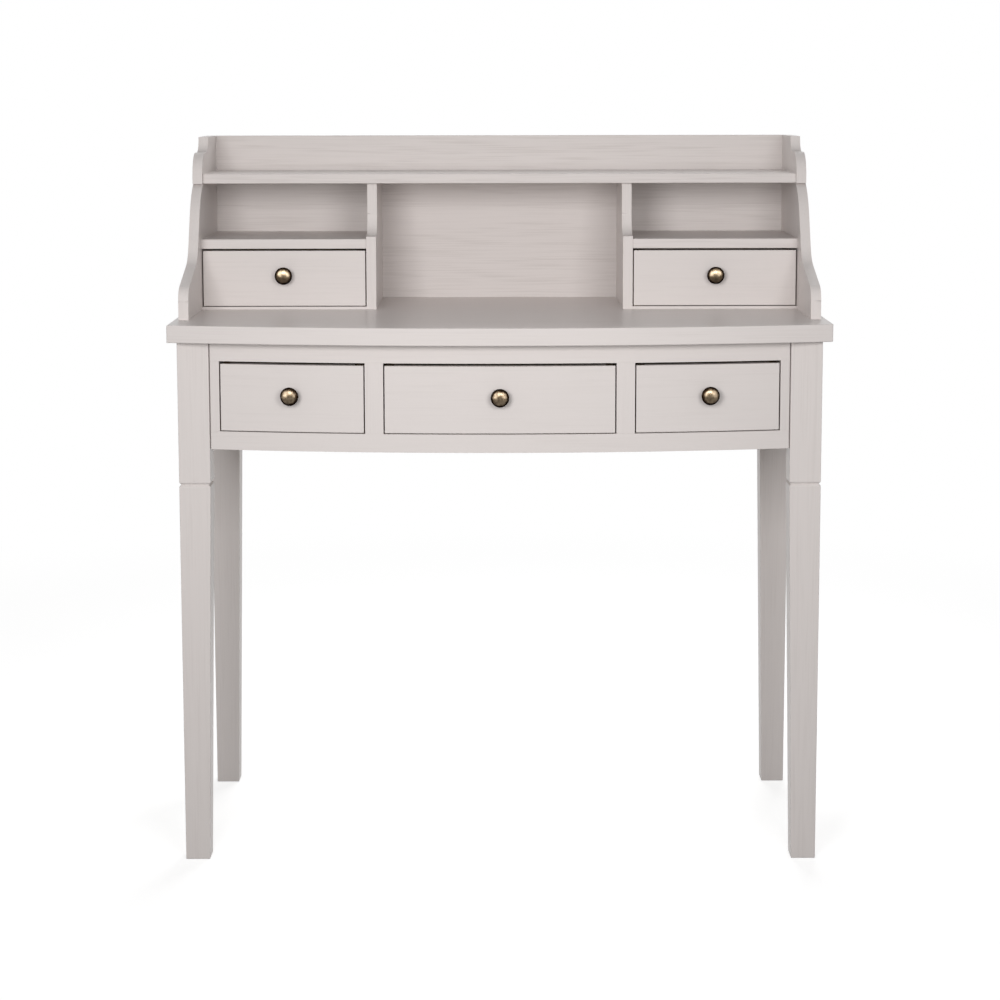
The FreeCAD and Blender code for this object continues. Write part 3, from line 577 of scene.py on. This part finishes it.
def screw_tree():
    """Screws on points, heads first: a head with a cross recess, and a plain shank. The recess is as long and
    wide as these shares of the head's radius."""
    recess_length, recess_width = 1.1, 0.26
    sizes = ("Head radius", "Neck radius", "Head height", "Shank radius", "Length", "Tip X", "Tip Z")
    tree, size = new_tree("cross_head_screws", sizes)
    head = add_node(
        tree,
        "GeometryNodeMeshCone",
        {
            "Vertices": 24,
            "Radius Top": size["Neck radius"],
            "Radius Bottom": size["Head radius"],
            "Depth": size["Head height"],
        },
    )
    shank = add_node(
        tree,
        "GeometryNodeMeshCylinder",
        {"Vertices": 16, "Radius": size["Shank radius"], "Depth": size["Length"]},
    )
    middle = add_node(tree, "ShaderNodeMath", {0: size["Length"], 1: 0.5}, operation="MULTIPLY")
    middle = add_node(
        tree, "ShaderNodeMath", {0: middle.outputs[0], 1: size["Head height"]}, operation="ADD"
    )
    lift = add_node(tree, "ShaderNodeCombineXYZ", {"Z": middle.outputs[0]})
    shank = add_node(
        tree, "GeometryNodeTransform", {"Geometry": shank.outputs[0], "Translation": lift.outputs[0]}
    )
    long = add_node(tree, "ShaderNodeMath", {0: size["Head radius"], 1: recess_length}, operation="MULTIPLY")
    thin = add_node(tree, "ShaderNodeMath", {0: size["Head radius"], 1: recess_width}, operation="MULTIPLY")
    recess = add_node(tree, "GeometryNodeJoinGeometry")
    for first, second in ((long, thin), (thin, long)):
        bar_size = add_node(
            tree,
            "ShaderNodeCombineXYZ",
            {"X": first.outputs[0], "Y": second.outputs[0], "Z": size["Head height"]},
        )
        bar = add_node(tree, "GeometryNodeMeshCube", {"Size": bar_size.outputs[0]})
        tree.links.new(bar.outputs[0], recess.inputs[0])
    struck = add_node(
        tree,
        "GeometryNodeMeshBoolean",
        {"Mesh 1": head.outputs[0], "Mesh 2": recess.outputs[0], "Self Intersection": True},
        operation="DIFFERENCE",
        solver="EXACT",
    )
    whole = add_node(tree, "GeometryNodeJoinGeometry")
    tree.links.new(struck.outputs[0], whole.inputs[0])
    tree.links.new(shank.outputs[0], whole.inputs[0])
    pointing = add_node(tree, "ShaderNodeCombineXYZ", {"X": size["Tip X"], "Z": size["Tip Z"]})
    driven = add_node(
        tree,
        "GeometryNodeInstanceOnPoints",
        {"Points": size["Points"], "Instance": whole.outputs[0], "Rotation": pointing.outputs[0]},
    )
    return close_tree(tree, driven.outputs[0], size["Finish"])


# Desk frame, top and hutch
def make_legs():
    """Four legs, each grown from the outer corner of its solid."""
    tree = leg_tree()
    for end, inwards in (("front", 1.0), ("back", -1.0)):
        for word, side in (("left", -1.0), ("right", 1.0)):
            node = f"leg_{end}_{word}"
            low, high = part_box(node)
            sizes = {
                "Corner X": low.x if side < 0 else high.x,
                "Corner Y": low.y if inwards > 0 else high.y,
                "Side": side,
                "Inwards": inwards,
                "Leg size": LEG_SIZE,
                "Foot width": FOOT_WIDTH,
                "Foot depth": FOOT_DEPTH,
                "Groove level": GROOVE_LEVEL,
                "Groove height": GROOVE_HEIGHT,
                "Groove depth": GROOVE_DEPTH,
                "Leg height": high.z,
            }
            mesh = grow(tree, [(0, 0, 0)], paint["upright"], sizes, LEG_EASE)
            finished(f"{node}_finish", mesh, paint["upright"], "desk", [node])


def make_frame_and_hutch():
    """Every fixed board, eased at its edges and with the grain that runs along it."""
    for nodes, width, way in (
        (("desk_top",), TOP_EASE, "round the bow, rubbed"),
        (("front_top_rail", "front_bottom_rail"), FRAME_EASE, "round the bow"),
        (("front_stile_left", "front_stile_right"), FRAME_EASE, "upright"),
        (("front_muntin_left", "front_muntin_right"), FRAME_EASE, "upright"),
        (("side_apron_left", "side_apron_right"), FRAME_EASE, "front to back"),
        (("back_apron",), FRAME_EASE, "crosswise, filled"),
        (("hutch_side_left", "hutch_side_right"), HUTCH_EASE, "upright"),
        (("hutch_divider_left", "hutch_divider_right"), HUTCH_EASE, "upright"),
        (("hutch_back_panel", "hutch_top_shelf"), HUTCH_EASE, "crosswise, open"),
        (("hutch_shelf_left", "hutch_shelf_right"), HUTCH_EASE, "crosswise, open"),
        (("hutch_drawer_floor_left", "hutch_drawer_floor_right"), FRAME_EASE, "crosswise, filled"),
    ):
        for node in nodes:
            eased_board(node, width, paint[way], "desk")
    for node in ("drawer_runners", "drawer_guides", "drawer_kickers"):
        eased_board(node, BOX_EASE, sawn_pine, "desk")


# Drawers with their knobs
knobs = bpy.data.collections.new("knobs")


def make_drawers(screws):
    """Five drawers, each with a turned knob and the screw that holds it."""
    turned_knob = knob_tree()
    for drawer in DRAWERS:
        grain = "crosswise, filled" if drawer.startswith("hutch") else "round the bow"
        eased_board(f"{drawer}_front", FRONT_EASE, paint[grain], drawer)
        for piece, along in (("side_left", "Y"), ("side_right", "Y"), ("back", "X")):
            eased_board(f"{drawer}_{piece}", BOX_EASE, pine[along], drawer)
        eased_board(f"{drawer}_bottom", BOX_EASE, thin_ply, drawer)
        front_low, front_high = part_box(f"{drawer}_front")
        knob_low, knob_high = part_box(f"{drawer}_knob")
        x = (front_low.x + front_high.x) / 2
        z = (knob_low.z + knob_high.z) / 2
        # The hutch knobs get the brighter dome, which is painted light on top of the rubbing.
        if drawer.startswith("hutch"):
            y, turn, wear_and_painted_light = front_low.y, 0.0, HUTCH_KNOB_WEAR_AND_PAINTED_LIGHT
        else:
            y = BOW_AXIS_Y - math.sqrt(BOW_RADIUS**2 - x**2)
            turn, wear_and_painted_light = math.asin(x / BOW_RADIUS), DESK_KNOB_WEAR_AND_PAINTED_LIGHT
        sizes = {"Widest": KNOB_RADIUS, "Longest": KNOB_LENGTH, "Turn": turn, "Wear and painted light": wear_and_painted_light}
        mesh = grow(turned_knob, [(x, y, z)], brass, sizes)
        knob = finished(f"{drawer}_knob_finish", mesh, brass, drawer, [f"{drawer}_knob"])
        knob.data.shade_smooth()
        knobs.objects.link(knob)
        inside = Matrix.Rotation(turn, 3, "Z") @ Vector((0, FRONT_THICKNESS + KNOB_SCREW_HEAD, 0))
        sizes = {
            "Head radius": SCREW_HEAD_RADIUS,
            "Neck radius": SCREW_HEAD_RADIUS,
            "Head height": KNOB_SCREW_HEAD,
            "Shank radius": SCREW_RADIUS,
            "Length": FRONT_THICKNESS,
            "Tip X": math.radians(90),
            "Tip Z": turn,
        }
        mesh = grow(screws, [Vector((x, y, z)) + inside], zinc, sizes)
        finished(f"{drawer}_knob_screw", mesh, zinc, drawer, [f"{drawer}_knob"])


def head_centres(node, axis, at_low):
    """Middles of the screw heads of one solid, found from the points that lie in the heads' plane."""
    flatness = 0.01 * MM
    one_head = 3 * SCREW_HEAD_RADIUS
    points = [vertex.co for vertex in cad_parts[node].data.vertices]
    plane = min(p[axis] for p in points) if at_low else max(p[axis] for p in points)
    groups = []
    for point in (p for p in points if abs(p[axis] - plane) < flatness):
        near = [group for group in groups if (group[0] - point).length < one_head]
        if near:
            near[0].append(point)
        else:
            groups.append([point])
    centres = []
    for group in groups:
        low = Vector([min(p[i] for p in group) for i in range(3)])
        high = Vector([max(p[i] for p in group) for i in range(3)])
        centres.append((low + high) / 2)
    return centres


def make_wood_screws(screws):
    """The screws up into the top and hutch, and those through the back panel."""
    for node, axis, at_low, tip in (
        ("top_screws", 2, True, 0.0),
        ("hutch_screws", 2, True, 0.0),
        ("back_panel_screws", 1, False, math.radians(90)),
    ):
        low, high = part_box(node)
        sizes = {
            "Head radius": SCREW_HEAD_RADIUS,
            "Neck radius": SCREW_RADIUS,
            "Head height": WOOD_SCREW_HEAD,
            "Shank radius": SCREW_RADIUS,
            "Length": high[axis] - low[axis] - WOOD_SCREW_HEAD,
            "Tip X": tip,
            "Tip Z": 0.0,
        }
        mesh = grow(screws, head_centres(node, axis, at_low), zinc, sizes)
        finished(f"{node}_finish", mesh, zinc, "desk", [node])


make_legs()
make_frame_and_hutch()
cross_head_screws = screw_tree()
make_drawers(cross_head_screws)
make_wood_screws(cross_head_screws)


# Studio
def white_for_the_eye(tree):
    """1 for what the camera sees, directly, in a reflection or through glass, and 0 for light on the desk."""
    path = add_node(tree, "ShaderNodeLightPath")
    shown = add_node(
        tree,
        "ShaderNodeMath",
        {0: path.outputs["Is Camera Ray"], 1: path.outputs["Is Glossy Ray"]},
        operation="MAXIMUM",
    )
    shown = add_node(
        tree,
        "ShaderNodeMath",
        {0: shown.outputs[0], 1: path.outputs["Is Transmission Ray"]},
        operation="MAXIMUM",
    )
    return shown.outputs[0]


def make_floor():
    """A plain white floor that fades to the white background and keeps a soft shadow near the desk. It throws
    back less light than it shows."""
    reach, level = 12.0, -0.2 * MM
    clear_from, clear_to = 0.9, 2.4
    own_white, shaded_grey, thrown_grey = 0.68, 0.5, 0.32
    mesh = bpy.data.meshes.new("studio_floor")
    corners = [(-reach, -reach), (reach, -reach), (reach, reach), (-reach, reach)]
    mesh.from_pydata([(x, y, level) for x, y in corners], [], [(0, 1, 2, 3)])
    floor = bpy.data.objects.new("studio_floor", mesh)
    scene.collection.objects.link(floor)
    material, tree = new_material("matt white floor")
    place = add_node(tree, "ShaderNodeTexCoord").outputs["Object"]
    distance = add_node(tree, "ShaderNodeVectorMath", {0: place}, operation="LENGTH")
    away = add_node(
        tree,
        "ShaderNodeMapRange",
        {0: distance.outputs["Value"], 1: clear_from, 2: clear_to, 3: 0.0, 4: 1.0},
        interpolation_type="SMOOTHSTEP",
    )
    glow = add_node(tree, "ShaderNodeEmission", {"Color": (1, 1, 1, 1), "Strength": 1.0})
    near_glow = add_node(tree, "ShaderNodeEmission", {"Color": (1, 1, 1, 1), "Strength": own_white})
    shaded = add_node(tree, "ShaderNodeBsdfDiffuse", {"Color": 3 * [shaded_grey] + [1]})
    near = add_node(tree, "ShaderNodeAddShader", {0: near_glow.outputs[0], 1: shaded.outputs[0]})
    seen = add_node(
        tree, "ShaderNodeMixShader", {0: away.outputs[0], 1: near.outputs[0], 2: glow.outputs[0]}
    )
    lit = add_node(tree, "ShaderNodeBsdfDiffuse", {"Color": 3 * [thrown_grey] + [1]})
    shown = white_for_the_eye(tree)
    surface = add_node(
        tree, "ShaderNodeMixShader", {0: shown, 1: lit.outputs[0], 2: seen.outputs[0]}
    )
    add_node(tree, "ShaderNodeOutputMaterial", {0: surface.outputs[0]})
    mesh.materials.append(material)


def make_world():
    """White behind the desk, and an even low light from all round."""
    low_light = 0.26
    world = bpy.data.worlds.new("white studio")
    scene.world = world
    world.use_nodes = True
    tree = world.node_tree
    tree.nodes.clear()
    shown = white_for_the_eye(tree)
    strength = add_node(tree, "ShaderNodeMapRange", {0: shown, 1: 0.0, 2: 1.0, 3: low_light, 4: 1.0})
    light = add_node(
        tree, "ShaderNodeBackground", {"Color": (1, 1, 1, 1), "Strength": strength.outputs[0]}
    )
    add_node(tree, "ShaderNodeOutputWorld", {0: light.outputs[0]})


def make_softbox(name, place, aim, width, height, power, kept_to=None):
    """A soft lamp that leaves no glare on the paint, or a bright card that only some pieces get. Place, aim
    and size are in metres, and power in watts."""
    lamp = bpy.data.lights.new(name, "AREA")
    lamp.shape = "RECTANGLE"
    lamp.size = width
    lamp.size_y = height
    lamp.energy = power
    lamp.spread = math.radians(110)
    softbox = bpy.data.objects.new(name, lamp)
    softbox.location = place
    softbox.visible_camera = False
    softbox.visible_glossy = kept_to is not None
    softbox.light_linking.receiver_collection = kept_to
    softbox.rotation_euler = (Vector(aim) - Vector(place)).to_track_quat("-Z", "Y").to_euler()
    scene.collection.objects.link(softbox)


def make_camera():
    """At the photograph's viewing angle, a little above the hutch and looking down at the drawers."""
    place = Vector((-3.0, -3430.0, 1061.4)) * MM
    pitch, roll, yaw = math.radians(7.451), math.radians(0.088), math.radians(-0.055)
    lens = bpy.data.cameras.new("camera")
    lens.sensor_width = 36.0
    lens.lens = 86.6
    lens.shift_y = -0.095
    camera = bpy.data.objects.new("camera", lens)
    turn = Matrix.Rotation(yaw, 4, "Z") @ Matrix.Rotation(math.radians(90) - pitch, 4, "X")
    turn = turn @ Matrix.Rotation(-roll, 4, "Z")
    camera.matrix_world = Matrix.Translation(place) @ turn
    scene.collection.objects.link(camera)
    scene.camera = camera


make_floor()
make_world()
make_softbox("left softbox", (-0.62, -2.35, 1.18), (0, 0, 0.8), 0.7, 0.8, 10.3)
make_softbox("right softbox", (0.62, -2.35, 1.18), (0, 0, 0.8), 0.7, 0.8, 6.5)
make_softbox("left side light", (-2.4, 0.15, 0.8), (0, 0.05, 0.7), 1.2, 0.8, 1.4)
make_softbox("right side light", (2.4, 0.15, 0.8), (0, 0.05, 0.7), 1.2, 0.8, 1.4)
make_softbox("back light", (0.3, 2.6, 2.2), (0, 0, 0.6), 1.6, 1.2, 20.0)
make_softbox("left card", (-1.9, -1.2, 1.7), (0, 0, 0.75), 2.3, 2.6, 60.0, knobs)
make_softbox("right card", (1.9, -1.2, 1.7), (0, 0, 0.75), 2.3, 2.6, 50.0, knobs)
make_softbox("top card", (0, -1.5, 2.3), (0, 0, 0.75), 2.0, 1.2, 46.0, knobs)
make_camera()
scene.view_settings.view_transform = "Standard"
